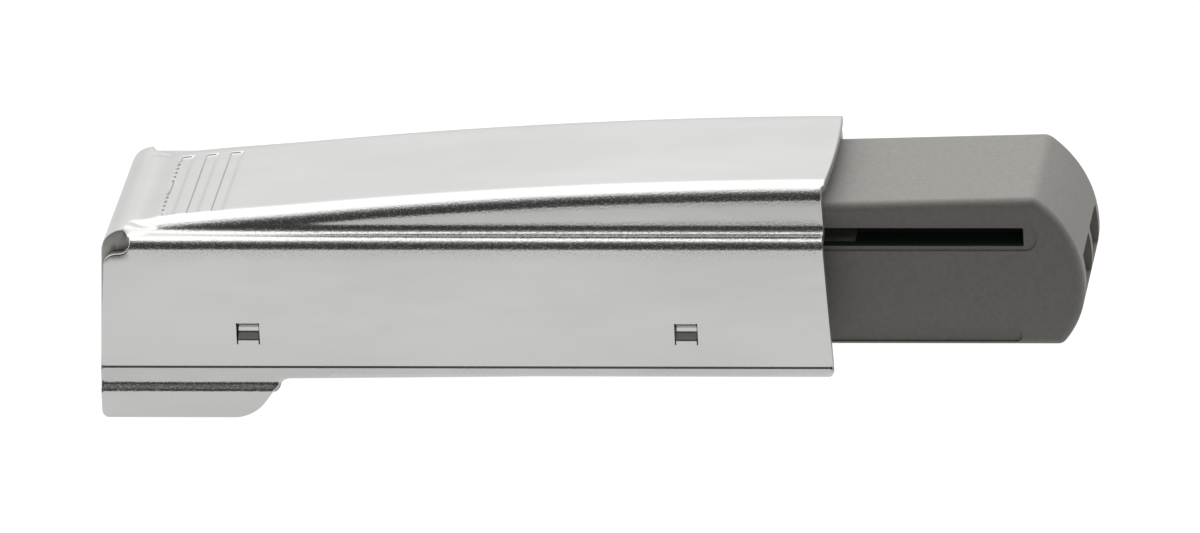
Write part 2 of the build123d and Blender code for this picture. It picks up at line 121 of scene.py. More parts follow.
# Side walls below the bend: small step at the crease, lip, joggle and foot
CREASE_TOP = (10.0, 0.1)
CREASE_FOOT = (10.08, 0.0)
LIP_END = (10.24, -1.34)
JOGGLE_END = (10.64, -1.8)
FOOT_SPREAD = 0.11
FOOT_BOTTOM = -4.2
CREASE_RADIUS = 0.04
JOGGLE_RADIUS = 0.3
FOOT_FRONT = 12.35
FOOT_SWEEP = 3.4
FOOT_TOP = (14.9, -0.95)
FOOT_FILLET = 1.2
FOOT_CORNER = 0.6
LIP_TAPER_X = 36.0
LIP_EDGE = -0.73
LIP_CORNER = 0.4

# Lances pressed into the side walls
LANCES = (11.2, 47.3)
LANCE_WIDTH = 1.9
LANCE_SLIT = 0.1
LANCE_HIGH = 3.9
LANCE_LOW = 2.04
LANCE_DEPTH = 0.5
LANCE_BENDS = (3.9, 3.36, 2.99, 2.42)
LANCE_BLEND = 0.12
SLIT_ROUNDING = 0.02

# Grip marks pressed into the rear of the crown
MARKS = (5.6, 7.65, 9.7)
MARK_HALF_WIDTH = 0.6
MARK_HALF_LENGTH = 6.35
MARK_MIDDLE = -0.4
MARK_DEPTH = 0.15
MARK_REAR_FLANK = 0.1
MARK_FRONT_FLANK = 0.45
MARK_END_FLANK = 0.22
MARK_FIELD = 6.85


def smooth(value, start, end):
    """0 up to start, 1 from end on, with a smooth turn between them."""
    share = np.clip((value - start) / (end - start), 0, 1)
    return share * share * (3 - 2 * share)


def rounded(corners, step):
    """Points along straight runs between corners ((x, y), radius), with arcs at the corners."""
    points = []
    places = [np.array(place, float) for place, _ in corners]
    for index, (place, radius) in enumerate(corners):
        here = places[index]
        if radius == 0 or index in (0, len(corners) - 1):
            points.append(here)
            continue
        before = places[index - 1] - here
        after = places[index + 1] - here
        before = before / np.linalg.norm(before)
        after = after / np.linalg.norm(after)
        half = np.arccos(np.clip(before @ after, -1, 1)) / 2
        reach = radius / np.tan(half)
        middle = here + (before + after) / np.linalg.norm(before + after) * radius / np.sin(half)
        first = here + before * reach - middle
        last = here + after * reach - middle
        turn = np.pi - 2 * half
        sense = np.sign(first[0] * last[1] - first[1] * last[0])
        for share in np.linspace(0, 1, max(3, int(turn * radius / step) + 2)):
            angle = sense * turn * share
            spun = (
                first[0] * np.cos(angle) - first[1] * np.sin(angle),
                first[0] * np.sin(angle) + first[1] * np.cos(angle),
            )
            points.append(middle + np.array(spun))
    return points


def spaced(points, step):
    """The same path with more points on its long runs."""
    path = [points[0]]
    for here, there in zip(points, points[1:]):
        count = max(1, int(np.ceil(np.linalg.norm(there - here) / step)))
        for index in range(1, count + 1):
            path.append(here + (there - here) * index / count)
    return path


# The section across the sheet is laid flat from the middle plane outwards: top, soft and tight
# shoulder, riser, root, ledge and side bend, each as wide as here, then the wall and the foot.
FLAT_WIDTHS = (
    CROWN_HALF,
    SOFT_BEND * SOFT_TURN,
    TIGHT_BEND * (pi / 2 - SOFT_TURN),
    2.4,
    CROWN_ROOT * pi / 2,
    0.15,
    SIDE_BEND * pi / 2,
)
TOP, SOFT, TIGHT, RISER, ROOT, LEDGE, WALL = np.cumsum(FLAT_WIDTHS)
STARTS = np.array([0, TOP, SOFT, TIGHT, RISER, ROOT, LEDGE])
LEDGE_END = HALF_WIDTH - SIDE_BEND
SPREAD = (LEDGE_END - CROWN_HALF) / (LEDGE - TOP)
ROLL_EDGE = TOP + (ROLL_HALF - CROWN_HALF) / SPREAD

foot_drop = FOOT_BOTTOM - 1 - JOGGLE_END[1]
foot_lean = FOOT_SPREAD / (FOOT_BOTTOM - JOGGLE_END[1])
wall_line = np.array(
    rounded(
        [
            ((HALF_WIDTH, DECK - SIDE_BEND), 0),
            (CREASE_TOP, CREASE_RADIUS),
            (CREASE_FOOT, CREASE_RADIUS),
            (LIP_END, JOGGLE_RADIUS),
            (JOGGLE_END, JOGGLE_RADIUS),
            ((JOGGLE_END[0] + foot_lean * foot_drop, FOOT_BOTTOM - 1), 0),
        ],
        0.02,
    )
)
wall_run = np.concatenate([[0], np.cumsum(np.linalg.norm(np.diff(wall_line, axis=0), axis=1))])


def across(z):
    """Place across the flat sheet of a height on the side wall, lip or foot."""
    return WALL + np.interp(-z, -wall_line[:, 1], wall_run)


def roof(x):
    rear_lift = ROOF_LIFT * (1 - smooth(x, 5, 17))
    return CREST - (x - CREST_X) ** 2 / (2 * CREST_RADIUS) + rear_lift


def crown_points(x, w):
    """Side and height of the crown, ledge and side bend at x, for w up to the end of the bend."""
    rise = np.maximum(roof(x) - DECK, 0.01)
    bent_rise = RISER_SHARE * rise
    soft_drop = SOFT_BEND * (1 - cos(SOFT_TURN))
    low_crown = 1 - bent_rise / (SOFT_BEND + CROWN_ROOT)
    high_crown = soft_drop + TIGHT_BEND * cos(SOFT_TURN) + CROWN_ROOT - bent_rise
    high_crown = high_crown / (TIGHT_BEND + CROWN_ROOT)
    angle = np.arccos(np.where(low_crown > cos(SOFT_TURN), low_crown, np.maximum(high_crown, 0)))
    angle = np.minimum(angle, RISER_ANGLE)
    soft = np.minimum(angle, SOFT_TURN)
    turned = SOFT_BEND * (1 - np.cos(soft)) + TIGHT_BEND * (np.cos(soft) - np.cos(angle))
    straight = (rise - turned - CROWN_ROOT * (1 - np.cos(angle))) / np.sin(angle)
    ends = np.append(STARTS, WALL)
    share = [np.clip((w - ends[i]) / (ends[i + 1] - ends[i]), 0, 1) for i in range(7)]
    bend = soft * share[1]
    side = np.minimum(w, CROWN_HALF) + SOFT_BEND * np.sin(bend)
    height = DECK + rise - SOFT_BEND * (1 - np.cos(bend))
    bend = soft + (angle - soft) * share[2]
    side += TIGHT_BEND * (np.sin(bend) - np.sin(soft))
    height -= TIGHT_BEND * (np.cos(soft) - np.cos(bend))
    side += straight * np.cos(angle) * share[3]
    height -= straight * np.sin(angle) * share[3]
    bend = angle * (1 - share[4])
    side += CROWN_ROOT * (np.sin(angle) - np.sin(bend))
    height -= CROWN_ROOT * (np.cos(bend) - np.cos(angle))
    side += np.maximum(LEDGE_END - side, 0.01) * share[5]
    side += 0.004 * (share[2] + share[3])
    side += SIDE_BEND * np.sin(share[6] * pi / 2)
    height -= SIDE_BEND * (1 - np.cos(share[6] * pi / 2))
    return side, height


def roll_lift(x):
    """Height of the rear roll over the deck, in front of its top."""
    lean = (ROLL_FOOT - ROLL_X) / (ROLL_FOOT_RADIUS + ROLL_RADIUS)
    meet = ROLL_X + ROLL_RADIUS * lean
    foot_z = DECK + ROLL_FOOT_RADIUS
    hollow = foot_z - np.sqrt(ROLL_FOOT_RADIUS**2 - np.clip(ROLL_FOOT - x, 0, 2.5) ** 2)
    bump = ROLL_Z + np.sqrt(ROLL_RADIUS**2 - np.clip(x - ROLL_X, 0, 1.5) ** 2)
    return np.where(x < meet, bump, hollow) - DECK


def skin(v, w):
    """Outer skin without grip marks and lances, v along the sheet and w >= 0 across it."""
    side, height = crown_points(v, w)
    grown = smooth(v, *CROWN_FADE)
    flat_side = np.where(w < TOP, w, CROWN_HALF + (w - TOP) * SPREAD)
    on_top = w < LEDGE
    flat_side = np.where(on_top, flat_side, side)
    flat_height = np.where(on_top, DECK, height)
    y = side * grown + flat_side * (1 - grown)
    z = height * grown + flat_height * (1 - grown)
    by_notch = smooth(v, ROLL_X - 0.3, NOTCH_END)
    inward = 1 - by_notch * smooth(y, 8.1, LEDGE_END)
    z = z + np.where(on_top & (v < ROLL_FOOT), roll_lift(v) * inward, 0)
    x = v.copy()
    # Past its top the sheet follows the roll and then the rear wall
    behind = on_top & (v < ROLL_X)
    run = np.where(behind, ROLL_X - v, 0)
    full_turn = pi / 2 - REAR_LEAN
    turn = np.minimum(run / ROLL_RADIUS, full_turn)
    drop = np.maximum(run - ROLL_RADIUS * full_turn, 0)
    roll_x = ROLL_X - ROLL_RADIUS * np.sin(turn) - drop * sin(REAR_LEAN)
    roll_z = ROLL_Z + ROLL_RADIUS * np.cos(turn) - drop * cos(REAR_LEAN)
    x = np.where(behind, roll_x, x)
    z = np.where(behind, roll_z, z)
    y = np.where(behind, flat_side, y)
    on_wall = w >= WALL
    y = np.where(on_wall, np.interp(w - WALL, wall_run, wall_line[:, 0]), y)
    z = np.where(on_wall, np.interp(w - WALL, wall_run, wall_line[:, 1]), z)
    return np.stack([x, y, z], axis=-1)


def skin_and_normal(v, w):
    """Outer skin on both sides of the middle plane, with its outward normal."""
    mirrored = np.where(w < 0, -1.0, 1.0)
    out = np.abs(w)
    step = 0.004
    point = skin(v, out)
    along = skin(v + step, out) - skin(v - step, out)
    over = skin(v, out + step) - skin(v, np.maximum(out - step, 0))
    normal = np.cross(along, over)
    normal /= np.linalg.norm(normal, axis=1)[:, None]
    point[:, 1] *= mirrored
    normal[:, 1] *= mirrored
    return point, normal


def marks(x, w):
    """Depth of the grip marks."""
    total = np.zeros_like(x)
    off = np.abs(w - MARK_MIDDLE)
    length = 1 - smooth(off, MARK_HALF_LENGTH - MARK_END_FLANK, MARK_HALF_LENGTH)
    for mark in MARKS:
        rear = mark - MARK_HALF_WIDTH
        front = mark + MARK_HALF_WIDTH
        fall = smooth(x, rear, rear + MARK_REAR_FLANK)
        total += fall * (1 - smooth(x, front - MARK_FRONT_FLANK, front))
    return MARK_DEPTH * total * length


def lances(x, w):
    """Depth of the strips pressed into the side walls."""
    bends = [across(z) for z in LANCE_BENDS]
    total = np.zeros_like(x)
    for start in LANCES:
        inside = (x > start + LANCE_SLIT / 2) & (x < start + LANCE_WIDTH - LANCE_SLIT / 2)
        down = np.interp(np.abs(w), bends, [0, 1, 1, 0])
        total += np.where(inside, down, 0)
    return LANCE_DEPTH * total


def front_edge(w):
    """Place along the sheet of its front edge."""
    side, height = crown_points(np.array([BODY_LENGTH]), np.array([w]))
    z = height[0] if w < WALL else np.interp(w - WALL, wall_run, wall_line[:, 1])
    bulge = TONGUE_STEP + TONGUE_BULGE * (1 - (side[0] / TONGUE_HALF) ** 2)
    tongue = bulge * (1 - smooth(side[0], TONGUE_HALF - 0.15, TONGUE_HALF + 0.25))
    return BODY_LENGTH - z * FRONT_LEAN + tongue


def blank_outline(step):
    """Half of the flat blank's outline, from the middle of the front to the middle of the rear."""
    edge_w = across(LIP_EDGE)
    front = [((front_edge(w), w), 0) for w in np.arange(0, edge_w - LIP_CORNER, step)]
    corners = front + [
        ((front_edge(edge_w), edge_w), LIP_CORNER),
        ((LIP_TAPER_X, edge_w), 0),
        ((FOOT_TOP[0], across(FOOT_TOP[1])), FOOT_FILLET),
        ((FOOT_FRONT, across(FOOT_BOTTOM)), FOOT_SWEEP),
        ((WALL_REAR, across(FOOT_BOTTOM)), FOOT_CORNER),
        ((WALL_REAR, across(0)), 0),
        ((WALL_REAR + WALL_TOP * WALL_LEAN, across(WALL_TOP)), WALL_CORNER),
        ((NOTCH_END, across(NOTCH_LOW)), NOTCH_RADIUS),
        ((NOTCH_END, ROLL_EDGE), NOTCH_RADIUS),
        ((rear_end(), ROLL_EDGE), REAR_WALL_CORNER),
        ((rear_end(), 0), 0),
    ]
    return spaced(rounded(corners, 0.1), step)


def rear_end():
    """Place along the sheet of the rear wall's lower edge."""
    turn = pi / 2 - REAR_LEAN
    wall_high = ROLL_Z + ROLL_RADIUS * cos(turn)
    return ROLL_X - ROLL_RADIUS * turn - (wall_high - REAR_WALL_BOTTOM) / cos(REAR_LEAN)


def slit_outlines():
    """Narrow cuts at both ends of each lance, on both sides."""
    low, high = across(LANCE_HIGH), across(LANCE_LOW)
    rows = spaced([np.array((0, low)), np.array((0, high))], 0.09)
    loops = []
    for start in LANCES:
        for left in (start, start + LANCE_WIDTH - LANCE_SLIT):
            down = [(left, point[1]) for point in rows]
            up = [(left + LANCE_SLIT, point[1]) for point in reversed(rows)]
            loop = np.array(down + up)
            loops.append(loop)
            loops.append(loop * (1, -1))
    return loops


def lines(*runs):
    """Values at even steps over several runs (start, end, step)."""
    found = [np.arange(start, end, step) for start, end, step in runs]
    return np.unique(np.round(np.concatenate(found), 4))


def blank_points():
    """Grid over the blank, finer in its bends, marks and lances."""
    bend_run = ROLL_X - ROLL_RADIUS * pi / 2
    along = lines(
        (rear_end(), bend_run, 0.7),
        (bend_run, ROLL_FOOT + 0.6, 0.16),
        (ROLL_FOOT + 0.6, BODY_LENGTH + 1, 0.5),
    )
    sides = [
        np.linspace(0, 5.5, 8),
        np.linspace(5.8, TOP, 3),
        np.linspace(TOP, SOFT, 10),
        np.linspace(SOFT, TIGHT, 11),
        np.linspace(TIGHT, RISER, 5),
        np.linspace(RISER, ROOT, 11),
        np.linspace(ROOT, LEDGE, 3),
        np.linspace(LEDGE, WALL, 14),
        np.linspace(WALL, across(0.4), 9),
        np.linspace(across(0.25), across(-0.1), 10),
        np.linspace(across(-0.25), across(-1.0), 4),
        np.linspace(across(-1.1), across(-2.1), 13),
        np.linspace(across(-2.3), across(FOOT_BOTTOM), 4),
    ]
    half = np.unique(np.round(np.concatenate(sides), 4))
    full = np.concatenate([-half[:0:-1], half])
    v, w = np.meshgrid(along, full)
    by_marks = (v > MARKS[0] - 0.85) & (v < MARKS[-1] + 0.85) & (np.abs(w) < MARK_FIELD)
    keep = ((v > -0.6) | (np.abs(w) < ROLL_EDGE)) & ~by_marks
    points = [np.stack([v[keep], w[keep]], axis=1)]
    rows = [np.arange(MARKS[0] - 0.8, MARKS[-1] + 0.8, 0.3)]
    for mark in MARKS:
        rear = mark - MARK_HALF_WIDTH
        front = mark + MARK_HALF_WIDTH
        rows.append(np.linspace(rear - 0.02, rear + MARK_REAR_FLANK + 0.02, 6))
        rows.append(np.linspace(front - MARK_FRONT_FLANK - 0.02, front + 0.02, 7))
    left_end = MARK_MIDDLE - MARK_HALF_LENGTH
    right_end = MARK_MIDDLE + MARK_HALF_LENGTH
    columns = [
        np.linspace(left_end - 0.05, left_end + MARK_END_FLANK + 0.05, 11),
        np.linspace(left_end + 0.6, right_end - 0.6, 14),
        np.linspace(right_end - MARK_END_FLANK - 0.05, right_end + 0.05, 11),
        np.linspace(right_end + 0.25, MARK_FIELD - 0.1, 3),
    ]
    v, w = np.meshgrid(np.unique(np.concatenate(rows)), np.concatenate(columns))
    points.append(np.stack([v.ravel(), w.ravel()], axis=1))
    for start in LANCES:
        fine_v = np.linspace(start + LANCE_SLIT + 0.08, start + LANCE_WIDTH - LANCE_SLIT - 0.08, 14)
        fine_w = np.linspace(across(LANCE_HIGH) - 0.1, across(LANCE_LOW) + 0.1, 30)
        v, w = np.meshgrid(fine_v, fine_w)
        for side in (1, -1):
            points.append(np.stack([v.ravel(), side * w.ravel()], axis=1))
    return np.concatenate(points)


def inside_and_distance(points, loop):
    """Whether each point lies inside a closed loop, and its distance from it."""
    here = loop
    there = np.roll(loop, -1, axis=0)
    inside = np.zeros(len(points), bool)
    nearest = np.full(len(points), 1e9)
    for (ax, ay), (bx, by) in zip(here, there):
        px, py = points[:, 0], points[:, 1]
        if ay != by:
            crosses = (ay > py) != (by > py)
            inside ^= crosses & (px < (bx - ax) * (py - ay) / (by - ay) + ax)
        length = max((bx - ax) ** 2 + (by - ay) ** 2, 1e-12)
        share = np.clip(((px - ax) * (bx - ax) + (py - ay) * (by - ay)) / length, 0, 1)
        gap = np.hypot(px - ax - share * (bx - ax), py - ay - share * (by - ay))
        nearest = np.minimum(nearest, gap)
    return inside, nearest


def flat_blank():
    """Triangles of the flat blank: points (v, w), faces, and which points lie on a cut edge."""
    half = blank_outline(0.3)
    outline = np.array(half + [point * (1, -1) for point in half[-2:0:-1]])
    holes = slit_outlines()
    points = blank_points()
    inside, gap = inside_and_distance(points, outline)
    keep = inside & (gap > 0.16)
    for hole in holes:
        near = (np.abs(points - hole.mean(axis=0)) < (1.5, 2.5)).all(axis=1) & keep
        in_hole, hole_gap = inside_and_distance(points[near], hole)
        keep[near] = ~in_hole & (hole_gap > 0.06)
    points = points[keep]
    loops = [outline] + holes
    edges = []
    first = 0
    for loop in loops:
        count = len(loop)
        edges += [(first + i, first + (i + 1) % count) for i in range(count)]
        first += count
    everything = np.concatenate(loops + [points])
    made = delaunay_2d_cdt([Vector(p) for p in everything], edges, [], 0, 1e-5)
    flat = np.array([tuple(p) for p in made[0]])
    faces = np.array([tuple(f) for f in made[2]])
    centres = flat[faces].mean(axis=1)
    kept, _ = inside_and_distance(centres, outline)
    for hole in holes:
        near = (np.abs(centres - hole.mean(axis=0)) < (1, 2)).all(axis=1)
        kept[near] &= ~inside_and_distance(centres[near], hole)[0]
    faces = faces[kept]
    a, b, c = flat[faces[:, 0]], flat[faces[:, 1]], flat[faces[:, 2]]
    area = (b[:, 0] - a[:, 0]) * (c[:, 1] - a[:, 1]) - (b[:, 1] - a[:, 1]) * (c[:, 0] - a[:, 0])
    faces[area < 0] = faces[area < 0][:, ::-1]
    faces = faces[np.abs(area) > 1e-7]
    used = np.unique(faces)
    renumber = np.full(len(flat), -1)
    renumber[used] = np.arange(len(used))
    return flat[used], renumber[faces]


def folded_sheet():
    """Vertices, faces and surface marks of the folded housing, closed, its cut edges rounded."""
    flat, faces = flat_blank()
    v, w = flat[:, 0], flat[:, 1]
    base, normal = skin_and_normal(v, w)
    pressed = -marks(v, w)[:, None] * normal
    pressed[:, 1] -= np.sign(w) * lances(v, w)
    outer = base + pressed
    in_roll = smooth(v, -1.2, -0.3) * (1 - smooth(v, 2.7, 3.6)) * (np.abs(w) < ROLL_EDGE + 0.4)
    inner = outer - (SHEET + ROLL_FILL * in_roll)[:, None] * normal
    # Directed edges that only one triangle has are the cut edges
    directed = np.concatenate([faces[:, [0, 1]], faces[:, [1, 2]], faces[:, [2, 0]]])
    known = set(map(tuple, directed))
    following = {a: b for a, b in known if (b, a) not in known}
    preceding = {b: a for a, b in following.items()}
    rim = np.array(sorted(following))
    after = outer[[following[i] for i in rim]] - outer[rim]
    before = outer[rim] - outer[[preceding[i] for i in rim]]
    after /= np.linalg.norm(after, axis=1)[:, None]
    before /= np.linalg.norm(before, axis=1)[:, None]
    away = np.cross(after, normal[rim]) + np.cross(before, normal[rim])
    away /= np.linalg.norm(away, axis=1)[:, None]
    by_lance = np.zeros(len(rim), bool)
    for start in LANCES:
        by_lance |= (np.abs(v[rim] - start - LANCE_WIDTH / 2) < LANCE_WIDTH) & (
            np.abs(np.abs(w[rim]) - across(3.0)) < 1.2
        )
    size = np.where(by_lance, SLIT_ROUNDING, CUT_ROUNDING)[:, None]
    # Rings of vertices round the cut edge, from the outer skin to the inner one
    rings = []
    for angle in np.linspace(0, pi / 2, 4):
        rings.append(outer[rim] + size * ((sin(angle) - 1) * away + (cos(angle) - 1) * normal[rim]))
    for angle in np.linspace(0, pi / 2, 4):
        rings.append(inner[rim] + size * ((cos(angle) - 1) * away + (1 - sin(angle)) * normal[rim]))
    outer[rim] = rings[0]
    inner[rim] = rings[-1]
    count = len(outer)
    spot = {index: order for order, index in enumerate(rim)}
    vertices = np.concatenate([outer, inner] + rings[1:-1])
    ring_index = [rim]
    ring_index += [2 * count + k * len(rim) + np.arange(len(rim)) for k in range(len(rings) - 2)]
    ring_index.append(rim + count)
    polygons = [tuple(f) for f in faces] + [tuple(f[::-1] + count) for f in faces]
    for near, far in zip(ring_index, ring_index[1:]):
        for order, index in enumerate(rim):
            other = spot[following[index]]
            polygons.append((near[order], far[order], far[other], near[other]))
    bent = bend_share(v, np.abs(w))
    bent = np.concatenate([bent, bent] + [bent[rim]] * (len(rings) - 2))
    cut = np.zeros(len(vertices))
    cut[ring_index[3]] = 1
    cut[ring_index[4]] = 1
    return vertices, polygons, (bent, cut)


def bend_share(v, w):
    """1 where the sheet was bent and its surface roughened, 0 where it stayed flat."""
    grown = smooth(v, *CROWN_FADE)
    crown = smooth(w, SOFT - 0.5, SOFT + 0.1) * (1 - smooth(w, TIGHT - 0.1, TIGHT + 0.1))
    crown += smooth(w, RISER - 0.1, RISER + 0.1) * (1 - smooth(w, ROOT - 0.2, LEDGE))
    side = smooth(w, LEDGE - 0.1, LEDGE + 0.3) * (1 - smooth(w, WALL - 0.2, WALL + 0.2))
    joggle = smooth(w, across(-1.1), across(-1.3)) * (1 - smooth(w, across(-1.8), across(-2.1)))
    return np.clip(crown * grown + side + joggle, 0, 1)


def mesh_object(name, vertices, polygons):
    """New object from vertices in millimetres, smooth shaded."""
    mesh = bpy.data.meshes.new(name)
    mesh.from_pydata((np.asarray(vertices) * MM).tolist(), [], [list(map(int, p)) for p in polygons])
    mesh.validate()
    mesh.shade_smooth()
    piece = bpy.data.objects.new(name, mesh)
    bpy.context.scene.collection.objects.link(piece)
    return piece


def add_housing():
    """The folded and plated sheet."""
    vertices, polygons, surfaces = folded_sheet()
    piece = mesh_object("housing_sheet", vertices, polygons)
    for name, values in zip(("bent", "cut"), surfaces):
        attribute = piece.data.attributes.new(name, "FLOAT", "POINT")
        attribute.data.foreach_set("value", values.astype(np.float32))
    piece.data.materials.append(plated_steel())
    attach(piece, "housing_unit")
    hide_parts("housing")
    return piece


class Nodes:
    """Short way to write a material's node tree."""

    def __init__(self, name):
        self.material = bpy.data.materials.new(name)
        self.material.use_nodes = True
        self.tree = self.material.node_tree
        self.shader = self.tree.nodes["Principled BSDF"]

    def add(self, kind, **settings):
        node = self.tree.nodes.new(kind)
        for key, value in settings.items():
            if key in node.inputs:
                node.inputs[key].default_value = value
            else:
                setattr(node, key, value)
        return node

    def link(self, output, socket):
        self.tree.links.new(output, socket)

    def noise(self, place, scale, detail=3.0, stretch=(1, 1, 1)):
        """Noise with features about 1/scale metres wide."""
        mapping = self.add("ShaderNodeMapping")
        mapping.inputs["Scale"].default_value = stretch
        self.link(place, mapping.inputs["Vector"])
        noise = self.add("ShaderNodeTexNoise", Scale=scale, Detail=detail)
        self.link(mapping.outputs["Vector"], noise.inputs["Vector"])
        return noise.outputs["Fac"]

    def math(self, operation, *values):
        node = self.add("ShaderNodeMath", operation=operation)
        for socket, value in zip(node.inputs, values):
            if isinstance(value, (int, float)):
                socket.default_value = value
            else:
                self.link(value, socket)
        return node.outputs[0]

    def place(self):
        return self.add("ShaderNodeTexCoord").outputs["Object"]


def plated_steel():
    """Nickel plating: even on the flats, flecked in the bends, duller on the cut edges."""
    n = Nodes("plated_steel")
    n.shader.inputs["Metallic"].default_value = 1.0
    place = n.place()
    bent = n.add("ShaderNodeAttribute", attribute_name="bent").outputs["Fac"]
    cut = n.add("ShaderNodeAttribute", attribute_name="cut").outputs["Fac"]
    tone = n.add("ShaderNodeValToRGB")
    tone.color_ramp.elements[0].position = 0.35
    tone.color_ramp.elements[0].color = (0.66, 0.66, 0.645, 1)
    tone.color_ramp.elements[1].position = 0.65
    tone.color_ramp.elements[1].color = (0.72, 0.72, 0.705, 1)
    n.link(n.noise(place, 120, 4, (0.35, 1, 1)), tone.inputs["Fac"])
    bare = n.add("ShaderNodeMix", data_type="RGBA")
    bare.inputs["B"].default_value = (0.5, 0.49, 0.47, 1)
    n.link(cut, bare.inputs["Factor"])
    n.link(tone.outputs["Color"], bare.inputs["A"])
    n.link(bare.outputs["Result"], n.shader.inputs["Base Color"])
    flecks = n.add("ShaderNodeMapRange")
    flecks.inputs["From Min"].default_value = 0.5
    flecks.inputs["From Max"].default_value = 0.62
    n.link(n.noise(place, 7500, 2, (0.7, 1, 1)), flecks.inputs["Value"])
    flecked = n.math("MULTIPLY", flecks.outputs["Result"], bent)
    rough = n.add("ShaderNodeMapRange")
    rough.inputs["To Min"].default_value = 0.17
    rough.inputs["To Max"].default_value = 0.27
    n.link(n.noise(place, 900, 3, (0.2, 1, 1)), rough.inputs["Value"])
    rougher = n.math("MULTIPLY_ADD", flecked, 0.22, rough.outputs["Result"])
    roughest = n.math("MULTIPLY_ADD", cut, 0.3, rougher)
    n.link(roughest, n.shader.inputs["Roughness"])
    strength = n.math("MULTIPLY_ADD", bent, 0.2, 0.02)
    bump = n.add("ShaderNodeBump", Distance=0.00008)
    n.link(strength, bump.inputs["Strength"])
    n.link(n.noise(place, 6000, 3, (0.6, 1, 1)), bump.inputs["Height"])
    n.link(bump.outputs["Normal"], n.shader.inputs["Normal"])
    return n.material


def moulded(name, colour, roughness=0.55):
    """Moulded plastic with a fine spark-eroded grain."""
    n = Nodes(name)
    place = n.place()
    tone = n.add("ShaderNodeValToRGB")
    tone.color_ramp.elements[0].position = 0.3
    tone.color_ramp.elements[0].color = (*[c * 0.92 for c in colour], 1)
    tone.color_ramp.elements[1].position = 0.7
    tone.color_ramp.elements[1].color = (*[c * 1.06 for c in colour], 1)
    n.link(n.noise(place, 2500, 5), tone.inputs["Fac"])
    n.link(tone.outputs["Color"], n.shader.inputs["Base Color"])
    n.shader.inputs["Roughness"].default_value = roughness
    bump = n.add("ShaderNodeBump", Strength=0.35, Distance=0.00003)
    n.link(n.noise(place, 9000, 3), bump.inputs["Height"])
    n.link(bump.outputs["Normal"], n.shader.inputs["Normal"])
    return n.material


def joined(tree, operation, first, second):
    """Two values joined by a math node, or the second alone when there is no first."""
    if first is None:
        return second
    node = tree.nodes.new("ShaderNodeMath")
    node.operation = operation
    tree.links.new(first, node.inputs[0])
    tree.links.new(second, node.inputs[1])
    return node.outputs[0]


def grey_plastic():
    """Plunger plastic: warm grey, spark-eroded, with shade painted nearly black inside the deep side
    slots and the plunger's hollow.
    """
    material = moulded("grey_plastic", (0.38, 0.362, 0.338))
    tree = material.node_tree
    shader = tree.nodes["Principled BSDF"]
    tone = shader.inputs["Base Color"].links[0].from_socket
    split = tree.nodes.new("ShaderNodeSeparateXYZ")
    tree.links.new(tree.nodes.new("ShaderNodeTexCoord").outputs["Object"], split.inputs[0])
    inside = None
    # Painted shade: boxes round the deep side slots and the plunger's hollow, where the base colour is
    # made nearly black
    slot = (("X", 60.0, 15.93), ("Y", 0.0, 7.1), ("Z", 10.4, 0.83))
    cavity = (("X", 54.0, 8.2), ("Y", 0.0, 6.15), ("Z", 6.2, 4.7))
    for region in (slot, cavity):
        in_shade_box = None
        for axis, middle, half in region:
            near = tree.nodes.new("ShaderNodeMath")
            near.operation = "COMPARE"
            near.inputs[1].default_value = middle * MM
            near.inputs[2].default_value = half * MM
            tree.links.new(split.outputs[axis], near.inputs[0])
            in_shade_box = joined(tree, "MULTIPLY", in_shade_box, near.outputs[0])
        inside = joined(tree, "MAXIMUM", inside, in_shade_box)
    # Painted shade: inside these boxes the base colour turns a dark green-grey that stands in for the
    # shade there
    painted_shade_mix = tree.nodes.new("ShaderNodeMix")
    painted_shade_mix.data_type = "RGBA"
    painted_shade_mix.inputs["B"].default_value = (0.1, 0.14, 0.115, 1)
    tree.links.new(inside, painted_shade_mix.inputs["Factor"])
    tree.links.new(tone, painted_shade_mix.inputs["A"])
    tree.links.new(painted_shade_mix.outputs["Result"], shader.inputs["Base Color"])
    return material


def turned(name, colour, roughness=0.25, metallic=1.0, rings=9000):
    """Drawn, turned or wound surface with faint marks round its axis."""
    n = Nodes(name)
    n.shader.inputs["Metallic"].default_value = metallic
    place = n.place()
    tone = n.add("ShaderNodeValToRGB")
    tone.color_ramp.elements[0].position = 0.3
    tone.color_ramp.elements[0].color = (*[c * 0.9 for c in colour], 1)
    tone.color_ramp.elements[1].position = 0.7
    tone.color_ramp.elements[1].color = (*colour, 1)
    n.link(n.noise(place, 400, 3), tone.inputs["Fac"])
    n.link(tone.outputs["Color"], n.shader.inputs["Base Color"])
    rough = n.add("ShaderNodeMapRange")
    rough.inputs["To Min"].default_value = roughness * 0.8
    rough.inputs["To Max"].default_value = roughness * 1.3
    n.link(n.noise(place, 1500, 2), rough.inputs["Value"])
    n.link(rough.outputs["Result"], n.shader.inputs["Roughness"])
    bump = n.add("ShaderNodeBump", Strength=0.2, Distance=0.00001)
    n.link(n.noise(place, rings, 2, (1, 0.05, 0.05)), bump.inputs["Height"])
    n.link(bump.outputs["Normal"], n.shader.inputs["Normal"])
    return n.material


SPRING_AXIS = 6.8
SPRING_RADIUS = 4.2
SPRING_WIRE = 0.6
SPRING_START = 14.73
SPRING_END = 61.67
SPRING_TURNS = 7


